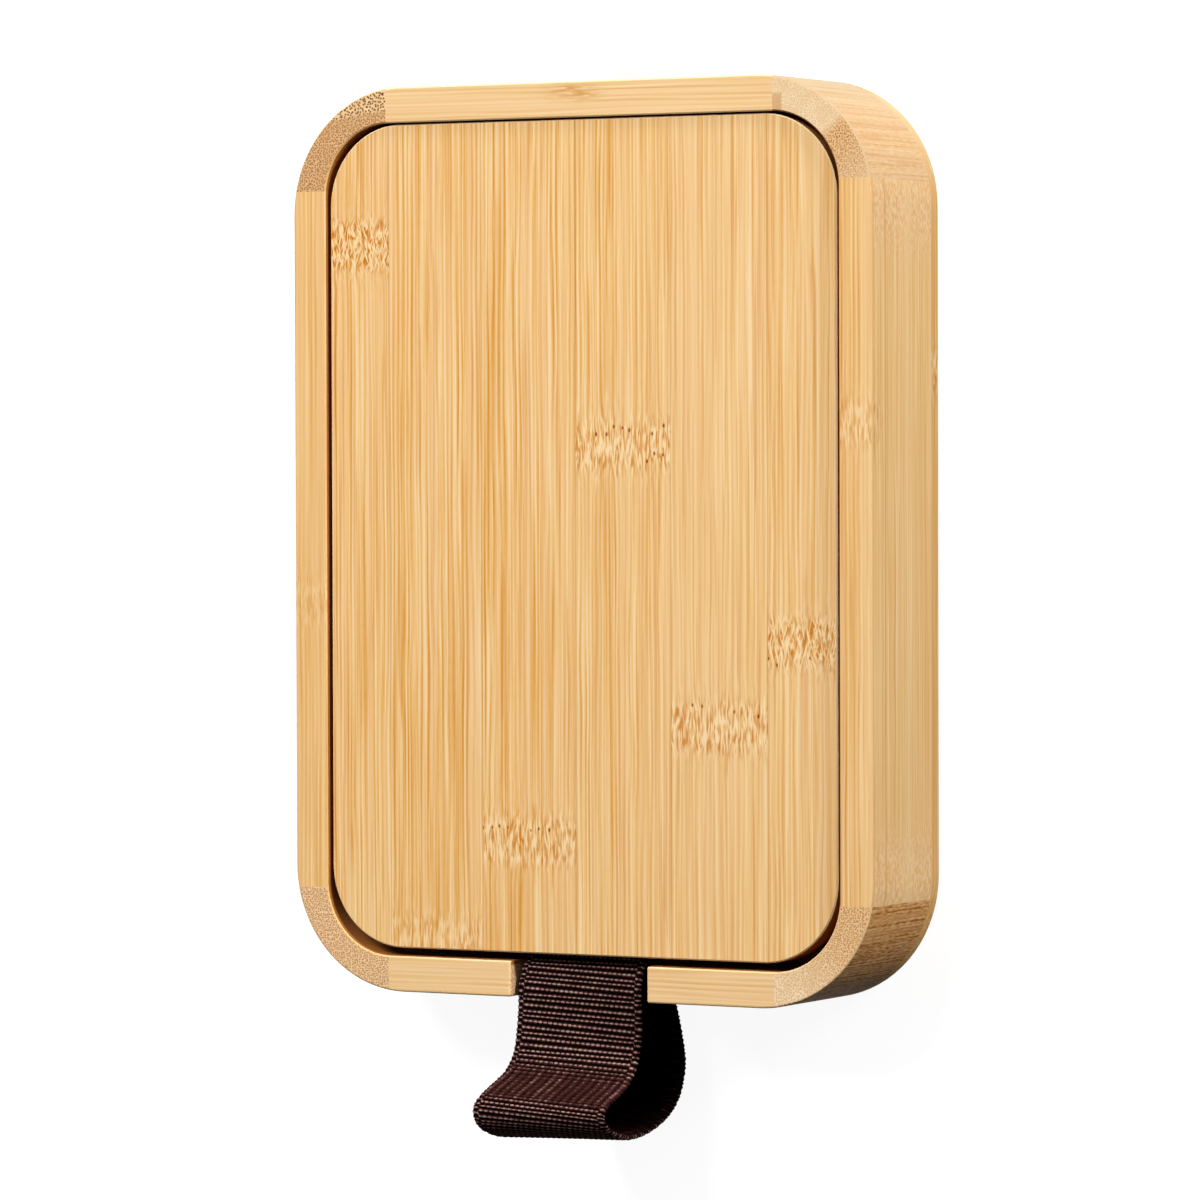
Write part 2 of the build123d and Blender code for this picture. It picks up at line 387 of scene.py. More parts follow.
def pits(t, at, colour, relief, row, share):
    """A row of small dark pits near the place row. share is how many of them are left out."""
    cell_place = t.math("MULTIPLY_ADD", at.first, 1 / PIT_PITCH, at.shift + row)
    cell = t.node("TexVoronoi", {"W": cell_place, "Scale": 1.0},
                  voronoi_dimensions="1D", feature="F1").outputs
    chance, height, size = t.split(cell["Color"])
    aside = t.math("MULTIPLY", cell["Distance"], PIT_PITCH)
    offset = t.math("MULTIPLY_ADD", height, PIT_SCATTER, row - PIT_SCATTER / 2)
    above = t.math("DIVIDE", t.math("SUBTRACT", at.along, offset), 1.7)
    away = t.math("SQRT", t.math("ADD", t.math("MULTIPLY", aside, aside),
                                 t.math("MULTIPLY", above, above)))
    beyond = t.math("DIVIDE", away, t.math("MULTIPLY_ADD", size, 0.10, 0.11))
    here = t.step(chance, share, share + 0.02)
    spot = t.math("MULTIPLY", t.step(beyond, 1.2, 0.6), here)
    rim = t.math("MULTIPLY", t.step(beyond, 2.2, 1.1), here)
    colour = t.mix(t.math("MULTIPLY", rim, 0.6), colour, KNOT_DARK)
    return t.mix(t.math("MULTIPLY", spot, 0.9), colour, KNOT_PIT), t.math("SUBTRACT", relief, spot)


def cut_end(t, at, tones, mask, fineness):
    """The cut end of the culm: bundles of fibre as dark dots, coarser and darker where mask is 1."""
    place = t.vector(t.math("MULTIPLY_ADD", at.first, fineness, at.shift),
                     t.math("MULTIPLY", at.second, fineness), 0.0)
    grit = t.math("MULTIPLY", t.math("SUBTRACT", t.noise(place, 6.0, 0.0), 0.5), 0.4)
    fine = t.step(t.math("ADD", t.cells(place, 2.15), grit), 0.14, 0.52)
    coarse = t.step(t.math("ADD", t.cells(place, 1.75), grit), 0.20, 0.46)
    fine_colour = t.mix(fine, tones["fine_dot"], tones["fine"])
    coarse_colour = t.mix(coarse, tones["coarse_dot"], tones["coarse"])
    colour = t.mix(mask, fine_colour, coarse_colour)
    cloud = t.step(t.noise(place, 0.30, 1.0), 0.35, 0.65)
    return t.mix(t.math("MULTIPLY", cloud, 0.30), colour, tones["cloud"])


def coarse_part(t, at, middle, direction, low, high, reach):
    """1 where the dots of a cut end are coarse: from low to high on in a direction from middle."""
    leaning = t.math("ADD",
                     t.math("MULTIPLY", t.math("SUBTRACT", at.axes[X], middle[0]), direction[0]),
                     t.math("MULTIPLY", t.math("SUBTRACT", at.axes[Y], middle[1]), direction[1]))
    return t.math("MULTIPLY", t.step(leaning, low, high), t.step(leaning, high + reach, high))


# The walls of the opening end at this Y, and get painted shade from this Z up, about as far down as
# the lid reaches.
OPENING_END = (79.4, 79.0)
WALL_SHADE_FROM = (15.0, 20.0)
# What a face's slope, the Z of its normal, is where the painted highlight or painted shade of an
# eased edge begins and where walls get painted shade, for a pale edge and for a dull one.
EDGE_PAINT_SLOPE = {"pale": (0.30, 0.55), "dull": (0.05, 0.30)}
WALL_SHADE_SLOPE = {"pale": (0.55, 0.25), "dull": (0.95, 0.70)}
FRONT_SLOPE = (0.995, 0.90)
SEAM_WIDTH = 0.10
# How near something has to be to hide a place from the light, so that it gets painted shade.
CREVICE_SHADE_REACH = 1.4 * MM


def inner_walls(t, at):
    """1 on the walls of the opening, which face the middle, down to the lid's depth."""
    outward = t.math("ADD", t.math("MULTIPLY", at.axes[X], at.normal[X]),
                     t.math("MULTIPLY", at.axes[Y], at.normal[Y]))
    within = t.step(t.math("ABSOLUTE", at.axes[Y]), *OPENING_END)
    inward = t.math("MULTIPLY", t.step(outward, -2.0, -12.0), within)
    return t.math("MULTIPLY", inward, t.step(at.axes[Z], *WALL_SHADE_FROM))


def paint_edge_light_and_shade(t, at, colour, tones, seams, edge, burnt):
    """Painted highlight or painted shade on eased edges, dark glue lines, painted shade on the walls
    of the opening and painted shade deep in the gaps.
    """
    kind = "dull" if edge < 0 else "pale"
    edge_paint = tones["worn"] if edge < 0 else PAINTED_EDGE_HIGHLIGHT
    eased = t.math("MULTIPLY", t.step(at.facing[Z], *EDGE_PAINT_SLOPE[kind]),
                   t.step(at.facing[Z], *FRONT_SLOPE))
    # Painted highlight on eased edges, or painted shade on them when edge is below 0.
    colour = t.mix(t.math("MULTIPLY", eased, abs(edge)), colour, edge_paint)
    for place in seams:
        line = t.math("MULTIPLY", t.bell(at.axes[X], place, SEAM_WIDTH), 0.45)
        colour = t.mix(line, colour, SEAM)
    # Painted shade on the walls of the opening, or on every upright side.
    upright = t.step(at.facing[Z], *WALL_SHADE_SLOPE[kind])
    shaded_wall = t.math("MULTIPLY", 1.0 if burnt else inner_walls(t, at), upright)
    colour = t.mix(t.math("MULTIPLY", shaded_wall, 0.85), colour, WALL_SHADE)
    # Painted shade deep in the gaps, where nearby surfaces hide the light.
    open_sky = t.node("AmbientOcclusion", {"Distance": CREVICE_SHADE_REACH}, samples=8).outputs["AO"]
    return t.mix(t.math("MULTIPLY", t.step(open_sky, 0.55, 0.20), 0.85), colour, CREVICE_SHADE)


def bamboo(name, grain, tones, seed, contrast, knots=(), knot_depth=None, crossed=0.0, pit_rows=(),
           seams=(), lines=0.0, dashed=0.12, broken=None, bands=(), stains=(), cut=None, patch=None,
           edge=0.1, burnt=False):
    """Bamboo with its grain along axis number grain, in millimetres of the frame.

    knots are the places of the culm's nodes along the grain, each with its strength. knot_depth is
    the stretch of Z over which they rise to the front face, and crossed how far their strokes lean
    over each other. pit_rows are places of rows of dark pits, each with the share of pits left
    out. seams are the places across X where a strip is glued to the next. lines is how dark the
    lone thin lines are, and dashed how strong the short dashes over the streaks. broken is the
    stretch along the grain, away from the middle, over which the side faces are cut askew. bands
    are stripes, each an axis, a place, a width, an amount and the name of a tone. stains are
    mottled dark spots, each an X, a Y, their reach across and up, and an amount. cut says how the
    cut end looks: its tones, a point, a direction from it in which the dots turn coarse, the two
    distances between which they do, how far on they last and how fine they are. patch is the
    highest X and Y of a tan corner of the cut end. edge is how strong the painted highlight on the
    eased edges is, or, below 0, how strong the painted shade on them, where the opening's edge gets
    painted shade too. The flag after edge tells that all upright sides get painted shade, not only
    the inner walls.
    """
    t = Tree(bpy.data.materials.new(name))
    at = Place(t, grain, seed)
    band, reach = knot_band(t, at, knots, knot_depth) if knots else (0.0, 0.0)
    at.stray(t, reach)

    # The streaks are set a little closer in some pieces than in others.
    pitch = 0.94 + 0.07 * (seed % 4)
    colour, level = fibres(t, at, tones, contrast, dashed, pitch)
    if broken:
        colour = chips(t, at, colour, tones, broken)
    for axis, place, width, amount, tone in bands:
        stripe = t.math("MULTIPLY", t.bell(at.axes[axis], place, width), amount)
        colour = t.mix(stripe, colour, tones[tone])
    for spot in stains:
        colour = stain(t, at, colour, tones, *spot)
    if lines:
        line = t.step(t.noise(at.scaled(t, 2.2, 0.02), 1.0, 0.0), 0.63, 0.70)
        colour = t.mix(t.math("MULTIPLY", line, lines), colour, KNOT_DARK)
    relief = t.math("MULTIPLY", level, 0.5)
    if knots:
        colour, relief = knuckle(t, at, colour, relief, band, crossed)
    for row, share in pit_rows:
        colour, relief = pits(t, at, colour, relief, row, share)

    cut_tones, *coarse, fineness = cut or (SANDY_CUT, 1.0)
    mask = coarse_part(t, at, *coarse) if coarse else 0.0
    cut_colour = cut_end(t, at, cut_tones, mask, fineness)
    if patch:
        inside = t.math("MULTIPLY", t.step(at.axes[X], patch[0] + 0.2, patch[0] - 0.2),
                        t.step(at.axes[Y], patch[1] + 0.4, patch[1] - 0.4))
        cut_colour = t.mix(t.math("MULTIPLY", inside, 0.6), cut_colour, tones["dark"])
    is_cut = t.step(at.facing[grain], 0.80, 0.95)
    colour = paint_edge_light_and_shade(t, at, t.mix(is_cut, colour, cut_colour), tones, seams, edge, burnt)
    relief = t.math("MULTIPLY", relief, t.math("SUBTRACT", 1.0, is_cut))
    roughness = t.math("MULTIPLY_ADD", level, -0.14, 0.60)
    return t.surface(Base_Color=colour, Roughness=roughness, Specular_IOR_Level=0.01,
                     Normal=t.bump(relief, 0.05 * MM, 0.15))


def dress(node, material):
    """Gives a CAD node its finished material."""
    for slot in NODES[node].material_slots:
        slot.material = material


def dress_bamboo(node, *grain_and_tones, **options):
    """Gives a CAD node a bamboo of its own, by what bamboo takes after the name."""
    dress(node, bamboo(f"bamboo_{node}", *grain_and_tones, **options))


# The culm's nodes in the lid's strips with their strength, how far their strokes lean over each
# other, and the rows of pits beside them, by the strip's number.
LID_KNOTS = {
    1: (55.5, 1.0),
    2: (-75.0, 0.55),
    3: (-55.8, 0.9),
    4: (17.6, 1.0),
    5: (-34.0, 1.0),
    6: (-18.4, 0.9),
}
LID_CROSSED = {1: 1.0, 6: 0.6}
LID_PITS = {
    3: [(-53.4, 0.45)],
    4: [(20.6, 0.40), (15.6, 0.72)],
    5: [(-31.0, 0.42), (-34.4, 0.78)],
    6: [(-21.6, 0.80)],
}
# The lid is a little paler towards its right side.
LID_PALE_SIDE = (X, 34.0, 26.0, 0.26, "pale")

# Stripes of the right rail: its front is glued up from two pieces, and its side has a dark line.
RIGHT_RAIL_BANDS = [
    (X, 57.6, 0.16, 0.6, "dark"),
    (X, 60.0, 1.9, 0.35, "pale"),
    (X, 55.8, 0.25, 0.4, "dark"),
    (Z, 22.1, 0.3, 0.6, "dark"),
    (Z, 13.2, 1.9, 0.4, "pale"),
]
TOP_RAIL_STAINS = [(-0.8, 83.4, 4.6, 1.5, 0.9), (1.6, 82.4, 2.4, 0.9, 0.9)]

# The middle of each bend, apart from its signs, and the corner blocks: their signs of X and Y, their
# tones, their cut end as bamboo takes it but without that point, and what else sets them apart.
CORNER_BEND = (37.9, 61.5)
CORNERS = {
    "corner_top_left": (
        (-1, 1), RAIL_TONES, (BROWN_CUT, (-0.15, 0.99), 19.0, 20.2, 90.0, 1.0),
        {"contrast": 0.38, "lines": 0.22, "edge": 0.0}),
    "corner_top_right": (
        (1, 1), SIDE_TONES, (PALE_CUT, (0.64, -0.77), -2.0, 0.5, 20.0, 1.3),
        {"contrast": 0.38, "lines": 0.22, "edge": -0.95, "patch": (43.0, 81.6),
         "bands": [(Y, 86.0, 8.0, 0.9, "ashen")]}),
    "corner_bottom_left": (
        (-1, -1), RAIL_TONES, (SANDY_CUT, (0.30, -0.95), 16.0, 23.0, 90.0, 1.1),
        {"contrast": 0.38, "lines": 0.22, "edge": 0.0}),
    # Painted shade: darker tones for this block, and a dark band towards its bottom, where it turns
    # away from the light.
    "corner_bottom_right": (
        (1, -1), SHADED_TONES, (FADING_CUT, (-0.50, -0.87), -2.0, 20.0, 90.0, 1.1),
        {"contrast": 0.8, "lines": 0.25, "edge": 0.5,
         "bands": [(Y, -86.0, 5.0, 0.75, "dark")]}),
}
FIRST_CORNER_SEED = 21


def dress_lid():
    for number, name in enumerate(STRIPS, 1):
        low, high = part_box(name)
        joints = [low.x / MM] if number > 1 else []
        if number < len(STRIPS):
            joints.append(high.x / MM)
        # Each strip gets a painted highlight on its eased edges and painted shade on all its upright
        # sides.
        dress_bamboo(name, Y, LID_TONES, seed=number, contrast=0.93, knots=[LID_KNOTS[number]],
                     crossed=LID_CROSSED.get(number, 0.0), pit_rows=LID_PITS.get(number, []),
                     seams=joints, lines=0.25, bands=[LID_PALE_SIDE], edge=0.9, burnt=True)


def dress_corners():
    for seed, (name, corner) in enumerate(CORNERS.items(), FIRST_CORNER_SEED):
        (right, up), tones, (cut_tones, *coarse), options = corner
        bend = (right * CORNER_BEND[0], up * CORNER_BEND[1])
        dress_bamboo(name, Z, tones, seed=seed, dashed=2.0, cut=(cut_tones, bend, *coarse), **options)


def dress_box():
    # edge puts a painted highlight on eased edges, or painted shade on them below 0.
    dress_bamboo("rail_left", Y, RAIL_TONES, seed=11, contrast=0.62, knots=[(-12.1, 0.35)], edge=0.0)
    dress_bamboo("rail_right", Y, RAIL_TONES, seed=12, contrast=0.85, knots=[(21.7, 0.55)],
                 knot_depth=(22.0, 26.0), broken=(48.0, 60.0), bands=RIGHT_RAIL_BANDS, edge=-0.95)
    dress_bamboo("rail_top", X, CROSS_RAIL_TONES, seed=13, contrast=0.6, stains=TOP_RAIL_STAINS,
                 edge=1.0)
    dress_bamboo("rail_bottom_left", X, CROSS_RAIL_TONES, seed=14, contrast=0.6)
    dress_bamboo("rail_bottom_right", X, CROSS_RAIL_TONES, seed=15, contrast=0.6)
    dress_bamboo("back_board", Y, BACK_TONES, seed=16, contrast=0.7, knots=[(31.0, 0.8)],
                 bands=[(Y, 80.0, 14.0, 0.8, "pale")], edge=0.6)
    dress_bamboo("lid_rest_left", X, RAIL_TONES, seed=17, contrast=0.8)
    dress_bamboo("lid_rest_right", X, RAIL_TONES, seed=18, contrast=0.8)
    dress_corners()


# ---------------------------------------------------------------- metals
def metal(name, colour, roughness, brushed):
    """Metal with fine scratches. brushed is how far they are drawn out along X."""
    t = Tree(bpy.data.materials.new(name))
    place = t.node("TexCoord").outputs["Object"]
    scale = (900.0, 900.0 * brushed, 900.0)
    stretched = t.node("Mapping", {"Vector": place, "Scale": scale}).outputs[0]
    scratches = t.noise(stretched, 3.0, 3.0, 0.7)
    cloud = t.noise(place, 260.0, 2.0)
    rough = t.math("ADD", t.math("MULTIPLY_ADD", scratches, 0.16, roughness - 0.08),
                   t.math("MULTIPLY", cloud, 0.06))
    shade = t.mix(t.math("MULTIPLY", cloud, 0.25), colour, TARNISH)
    return t.surface(Base_Color=shade, Metallic=1.0, Roughness=rough,
                     Normal=t.bump(scratches, 0.01 * MM, 0.5))


def dress_metal():
    plate = metal("plate_steel", STEEL, roughness=0.34, brushed=9.0)
    screw = metal("screw_steel", STEEL, roughness=0.26, brushed=1.0)
    pin = metal("pin_steel", BRONZE, roughness=0.50, brushed=6.0)
    nickel = metal("nickel_plating", NICKEL, roughness=0.18, brushed=1.0)
    dress("strap_plate", plate)
    for side in ("left", "right"):
        dress(f"strap_screw_{side}", screw)
        dress(f"hinge_pin_{side}", pin)
        dress(f"box_magnet_{side}", nickel)
        dress(f"lid_magnet_{side}", nickel)


# ---------------------------------------------------------------- webbing strap
# Both edges of the strap's outer face as (y, z) in millimetres, from its tail under the lid, out
# round the lid's end, down to the nose of the loop and back in through the notch. The loop is
# twisted: its left edge stands further out of the box at the nose.
LEFT_EDGE = [
    (-57.0, 21.15), (-66.0, 21.15), (-74.6, 21.2), (-77.6, 22.4), (-79.9, 24.5), (-83.2, 25.9),
    (-87.7, 26.3), (-91.6, 26.9), (-95.2, 28.0), (-98.2, 31.0), (-99.9, 35.0), (-101.5, 39.2),
    (-103.3, 42.2), (-105.9, 42.8), (-108.6, 40.4), (-110.6, 34.0), (-110.9, 27.0), (-109.8, 20.0),
    (-107.6, 14.4), (-104.4, 10.4), (-100.4, 8.3), (-96.4, 8.0), (-91.6, 9.0), (-86.6, 10.7),
    (-81.4, 13.0), (-76.6, 16.1), (-71.4, 18.4), (-64.0, 18.45), (-57.0, 18.45)]
RIGHT_EDGE = [
    (-57.0, 21.15), (-66.0, 21.15), (-74.6, 21.2), (-77.6, 22.0), (-79.8, 23.4), (-83.0, 24.3),
    (-87.6, 24.1), (-91.4, 24.1), (-95.6, 25.2), (-98.7, 27.5), (-100.9, 31.0), (-102.6, 35.4),
    (-104.2, 37.8), (-106.3, 38.0), (-108.7, 35.2), (-110.4, 29.6), (-110.5, 23.6), (-109.4, 17.4),
    (-107.4, 12.2), (-104.7, 8.7), (-101.3, 6.8), (-97.4, 6.1), (-91.9, 7.5), (-86.8, 9.5),
    (-81.4, 12.2), (-76.6, 15.8), (-71.4, 18.4), (-64.0, 18.45), (-57.0, 18.45)]
POINTS_PER_SPAN = 24
# The webbing's thickness and how far its ribs stand out on either face, in millimetres as all
# lengths here.
WEB_THICKNESS = 1.3
WEB_RELIEF = 0.30
INNER_RELIEF = 0.8 * WEB_RELIEF
RIB_PITCH = 1.03
# How many yarns each rib is set off sideways from the one before.
RIB_SHIFT = 0.36
YARNS_ACROSS = 25
# The woven edge: its width, how far its beads stand out sideways and how near the edge they do.
SELVEDGE = 1.1
SELVEDGE_BULGE = 0.12
BULGE_REACH = 0.6
# The long edges are rounded off by this depth, within this distance of the edge.
ROUND_DEPTH = 0.42
ROUND_REACH = 0.5
# The mesh has this many rows to a rib, and columns to a yarn outside and in all inside.
ROWS_PER_RIB = 4
COLUMNS_PER_YARN = 4
INNER_COLUMNS = 20
# Painted shade on the inner face: how bright it is kept, and painted light on its edges: how much
# brighter there, within this distance.
INNER_SHADE = 0.45
INNER_EDGE_SHADE = 0.35
INNER_EDGE_REACH = 3.0
# Each rib has this many random brightnesses, one to a yarn.
CHANCES = 60
# Where the grooves' painted shade gives way to oblique streaks, at shares of the strap's length: on
# the way up from the lid to the loop's crest. The ribs keep their height there.
STREAKED_SHARES = ((0.0, 0.275, 0.315, 0.362, 0.382, 1.0), (0.0, 0.0, 1.0, 1.0, 0.0, 0.0))
# How many millimetres further along the strap each row's right end lies than its left end, at
# shares of the strap's length.
ROW_LAG = ((0.0, 0.12, 0.30, 0.50, 0.80, 1.0), (0.0, 0.9, 2.2, 1.9, 0.6, 0.0))


def smooth_curve(points):
    """A dense smooth curve through the points, and how far along it each of its own points lies."""
    ends = np.vstack([2 * points[0] - points[1], points, 2 * points[-1] - points[-2]])
    steps = np.linspace(0, 1, POINTS_PER_SPAN, endpoint=False)[:, None]
    dense = []
    for a, b, c, d in zip(ends, ends[1:], ends[2:], ends[3:]):
        dense.append(0.5 * (2 * b + (c - a) * steps + (2 * a - 5 * b + 4 * c - d) * steps**2
                            + (3 * b - a - 3 * c + d) * steps**3))
    dense = np.vstack([*dense, points[-1:]])
    run = np.concatenate([[0], np.cumsum(np.linalg.norm(np.diff(dense, axis=0), axis=1))])
    return dense, run


def unit(vectors):
    return vectors / np.linalg.norm(vectors, axis=-1, keepdims=True)


def strap_edges():
    """Both edges of the strap's outer face, row by row, and its length, all in millimetres."""
    curves = []
    for x, edge in ((STRAP_LEFT / MM, LEFT_EDGE), (STRAP_RIGHT / MM, RIGHT_EDGE)):
        curves.append(smooth_curve(np.array([(x, y, z) for y, z in edge])))
    length = (curves[0][1][-1] + curves[1][1][-1]) / 2
    rows = int(round(length / RIB_PITCH)) * ROWS_PER_RIB + 1
    share = np.linspace(0, 1, rows)
    ribs = share * length / RIB_PITCH
    lag = np.interp(share, *ROW_LAG)
    sides = []
    for (dense, run), trail, phase in zip(curves, (0.0, lag), (0.0, 1.7)):
        uneven = 0.13 * np.sin(1.9 * ribs + phase) + 0.10 * np.sin(0.71 * ribs + 2 * phase)
        place = np.clip(share + (trail + uneven) / length, 0, 1) * run[-1]
        sides.append(np.stack([np.interp(place, run, dense[:, i]) for i in range(3)], axis=1))
    return sides[0], sides[1], length


def weave(row, share, edge, chances, streaking):
    """How high the yarn stands, how high its rib stands and how bright it is painted, each from 0 to
    1.
    The brightness puts painted shade in the low places, which turns the grooves black.

    share is the place across the strap, edge the distance from the nearer edge in millimetres, and
    the last argument is 1 where the grooves' painted shade gives way to oblique streaks; the ribs
    keep their height there.
    """
    along = row / ROWS_PER_RIB + (0.5 if edge < SELVEDGE else 0.0)
    across = share * YARNS_ACROSS + RIB_SHIFT * along
    rib = math.sin(math.pi * along) ** 2
    yarn = abs(math.sin(math.pi * across))
    height = rib * (0.45 + 0.55 * yarn**0.7)
    leaning = 0.64 * share * YARNS_ACROSS + 0.02 * along
    streak = math.sin(math.pi * leaning) ** 2 * (0.75 + 0.5 * chances[0, int(leaning) % CHANCES])
    streak_shade = 0.20 + 0.13 * rib + 0.09 * yarn + 0.27 * streak
    shade = height * (1 - streaking) + streak_shade * streaking
    return height, rib, shade * (0.84 + 0.16 * chances[int(along), int(across) % CHANCES])


def webbing_mesh():
    """One closed band: beads of yarn on the outer face, plain ribs inside and a woven edge."""
    left, right, length = strap_edges()
    rows = len(left)
    streak_share = np.interp(np.linspace(0, 1, rows), *STREAKED_SHARES)
    chances = np.random.default_rng(7).random((rows // ROWS_PER_RIB + 2, CHANCES))
    outer = np.linspace(0, 1, YARNS_ACROSS * COLUMNS_PER_YARN + 1)
    inner = np.linspace(1, 0, INNER_COLUMNS + 1)
    run = unit(np.gradient((left + right) / 2, axis=0))
    width = unit(right - left)
    normal = unit(np.cross(run, width))
    vertices, shades = [], []
    for row in range(rows):
        for face, shares in (("outer", outer), ("inner", inner)):
            for share in shares:
                edge = min(share, 1 - share) * (STRAP_RIGHT - STRAP_LEFT) / MM
                height, rib, shade = weave(row, share, edge, chances, streak_share[row])
                middle = left[row] * (1 - share) + right[row] * share
                rounded = ROUND_DEPTH * max(0.0, 1 - edge / ROUND_REACH) ** 2
                if face == "outer":
                    out = (height - 1) * WEB_RELIEF - rounded
                else:
                    out = -WEB_THICKNESS + (1 - rib) * INNER_RELIEF + rounded
                    shade *= INNER_SHADE + INNER_EDGE_SHADE * max(0.0, 1 - edge / INNER_EDGE_REACH)
                bulge = SELVEDGE_BULGE * rib * max(0.0, 1 - edge / BULGE_REACH)
                side = bulge if share > 0.5 else -bulge
                vertices.append(middle + normal[row] * out + width[row] * side)
                shades.append(shade)
    around = len(outer) + len(inner)
    faces = [
        (row * around + i, row * around + (i + 1) % around,
         (row + 1) * around + (i + 1) % around, (row + 1) * around + i)
        for row in range(rows - 1) for i in range(around)
    ]
    faces.append(tuple(reversed(range(around))))
    faces.append(tuple((rows - 1) * around + i for i in range(around)))
    mesh = bpy.data.meshes.new("webbing_strap")
    mesh.from_pydata([tuple(v * MM) for v in vertices], [], faces)
    mesh.polygons.foreach_set("use_smooth", [True] * len(mesh.polygons))
    # The yarn attribute holds each point's painted brightness: painted shade in the grooves and on
    # the inner face.
    mesh.attributes.new("yarn", "FLOAT", "POINT").data.foreach_set("value", shades)
    mesh.update()
    return mesh, length


def webbing_material():
    """Near-black ribs, grooves turned black by painted shade, and pink-brown beads of yarn on top,
    paler partly by their colour and partly by painted sheen.
    """
    t = Tree(bpy.data.materials.new("webbing"))
    yarn = t.node("Attribute", attribute_name="yarn").outputs["Fac"]
    place = t.node("TexCoord").outputs["Object"]
    tint = t.noise(place, 620.0, 1.0)
    fuzz = t.noise(place, 5200.0, 2.0, 0.7)
    top = t.ramp(tint, [(0.36, YARN_ROSE), (0.50, YARN_TOP), (0.66, YARN_OLIVE)])
    rough_yarn = t.math("ADD", yarn, t.math("MULTIPLY", t.math("SUBTRACT", fuzz, 0.5), 0.4))
    colour = t.mix(t.step(rough_yarn, 0.20, 0.52), YARN_GROOVE_SHADE, YARN_BODY)
    colour = t.mix(t.step(rough_yarn, 0.50, 0.88), colour, top)
    return t.surface(Base_Color=colour, Roughness=0.82, Specular_IOR_Level=0.02,
                     Normal=t.bump(fuzz, 0.05 * MM, 0.6))


def make_strap():
    mesh, length = webbing_mesh()
    strap = bpy.data.objects.new("webbing_strap", mesh)
    bpy.context.scene.collection.objects.link(strap)
    mesh.materials.append(webbing_material())
    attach(strap, "lid")
    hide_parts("strap")
    print(f"strap length {length:.1f} mm, {len(mesh.polygons)} faces")


# ---------------------------------------------------------------- floor, lamps and camera
def diffuse_or_bright(name, bounce, seen, glow):
    """A surface that light bounces off as the grey bounce, and that the camera sees nearly white.

    The camera and mirrors see the colour seen plus a little glow, so the object's shadow stays.
    """
    t = Tree(bpy.data.materials.new(name))
    path = t.node("LightPath").outputs
    looking = t.math("MAXIMUM", path["Is Camera Ray"],
                     t.math("MAXIMUM", path["Is Glossy Ray"], path["Is Transmission Ray"]))
    grey = t.node("BsdfDiffuse", {"Color": (bounce, bounce, bounce, 1.0)}).outputs[0]
    white = t.node("BsdfDiffuse", {"Color": (seen, seen, seen, 1.0)}).outputs[0]
    light = t.node("Emission", {"Color": (1.0, 1.0, 1.0, 1.0), "Strength": glow}).outputs[0]
    shown = t.node("AddShader", {0: white, 1: light}).outputs[0]
    surface = t.node("MixShader", {0: looking, 1: grey, 2: shown}).outputs[0]
    t.node("OutputMaterial", {0: surface})
    return t.owner


FLOOR_HALF = 2.5
FLOOR_BELOW = 0.2 * MM


def make_floor():
    mesh = bpy.data.meshes.new("floor")
    signs = [(-1, -1), (1, -1), (1, 1), (-1, 1)]
    corners = [(right * FLOOR_HALF, up * FLOOR_HALF, 0) for right, up in signs]
    mesh.from_pydata(corners, [], [(0, 1, 2, 3)])
    mesh.materials.append(diffuse_or_bright("floor_paper", bounce=0.06, seen=0.26, glow=0.93))
    floor = bpy.data.objects.new("floor", mesh)
    floor.location.z = -FLOOR_BELOW
    bpy.context.scene.collection.objects.link(floor)


def make_world(dim, bright):
    """Light from all round: dim from the strap's end and bright from the hinge end."""
    t = Tree(bpy.data.worlds.new("studio"))
    path = t.node("LightPath").outputs
    looking = t.math("MAXIMUM", path["Is Camera Ray"], path["Is Transmission Ray"])
    towards_hinge = t.split(t.node("TexCoord").outputs["Generated"])[Y]
    ambient = t.node("MapRange", {"Value": towards_hinge, "From Min": -0.3, "From Max": 1.0,
                                  "To Min": dim, "To Max": bright}).outputs[0]
    strength = t.node("Mix", {0: looking, 2: ambient, 3: 1.0}, data_type="FLOAT").outputs[0]
    background = t.node("Background", {"Color": (1.0, 1.0, 1.0, 1.0), "Strength": strength})
    t.node("OutputWorld", {0: background.outputs[0]})
    bpy.context.scene.world = t.owner


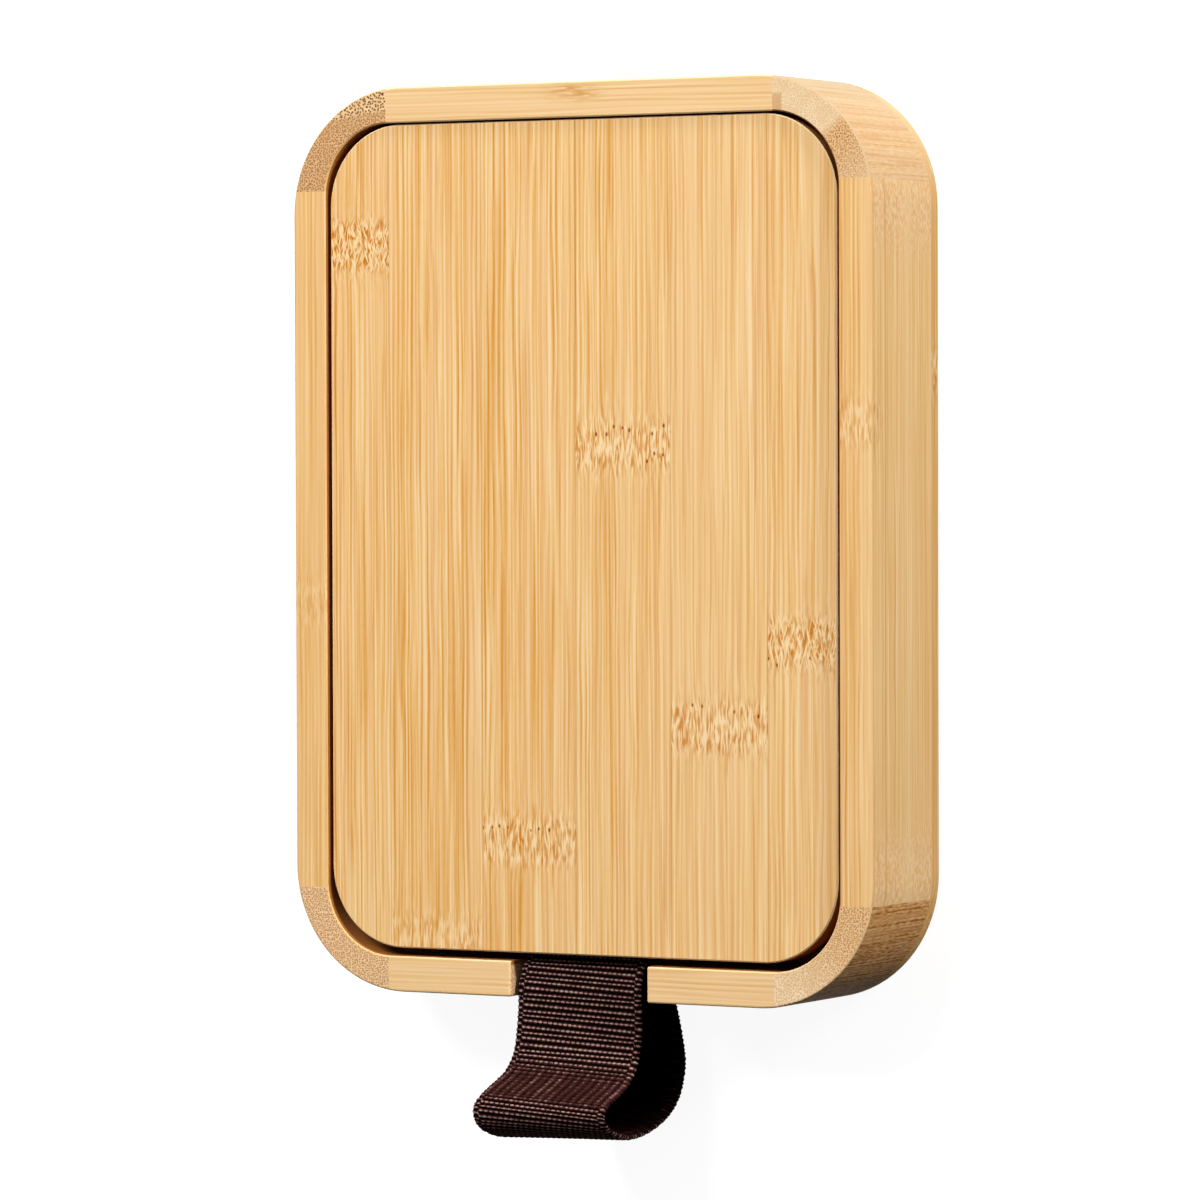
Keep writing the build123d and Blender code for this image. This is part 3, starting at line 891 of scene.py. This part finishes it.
def softbox(name, towards, distance, wide, tall, level):
    """A lamp in the direction towards, which adds level to a white face turned to it."""
    towards = Vector(towards).normalized()
    data = bpy.data.lights.new(name, "AREA")
    data.shape = "RECTANGLE"
    data.size, data.size_y = wide, tall
    data.energy = level * math.pi**2 * distance**2
    lamp = bpy.data.objects.new(name, data)
    lamp.location = towards * distance
    lamp.rotation_mode = "QUATERNION"
    lamp.rotation_quaternion = towards.to_track_quat("Z", "Y")
    bpy.context.scene.collection.objects.link(lamp)


def make_lamps():
    make_world(dim=0.015, bright=0.38)
    softbox("key", towards=(-0.22, 0.58, 0.785), distance=2.0, wide=0.8, tall=0.8, level=1.03)
    softbox("side", towards=(0.84, 0.52, 0.14), distance=1.3, wide=0.4, tall=0.14, level=0.86)


# The photograph's camera, about the middle of the lid's face.
TARGET = Vector((4.908, -10.85, 27.0)) * MM
DISTANCE = 1164.7 * MM
YAW = math.radians(29.369)
PITCH = math.radians(1.418)
ROLL = math.radians(-0.177)
SENSOR = 36.0
FRAME_PIXELS = 1200
FOCAL_PIXELS = 6303.0


def make_camera():
    back = Vector((math.sin(YAW) * math.cos(PITCH), math.sin(PITCH), math.cos(YAW) * math.cos(PITCH)))
    level_right = Vector((math.cos(YAW), 0.0, -math.sin(YAW)))
    level_up = back.cross(level_right)
    right = level_right * math.cos(ROLL) + level_up * math.sin(ROLL)
    up = level_up * math.cos(ROLL) - level_right * math.sin(ROLL)
    data = bpy.data.cameras.new("camera")
    data.sensor_width = SENSOR
    data.lens = FOCAL_PIXELS / FRAME_PIXELS * SENSOR
    data.clip_start, data.clip_end = 0.05, 20.0
    camera = bpy.data.objects.new("camera", data)
    turn = Matrix((right, up, back)).transposed().to_4x4()
    camera.matrix_world = Matrix.Translation(TARGET + back * DISTANCE) @ turn
    bpy.context.scene.collection.objects.link(camera)
    bpy.context.scene.camera = camera


# ---------------------------------------------------------------- the scene
dress_lid()
dress_box()
dress_metal()
make_strap()
make_floor()
make_lamps()
make_camera()
bpy.context.scene.view_settings.view_transform = "Standard"
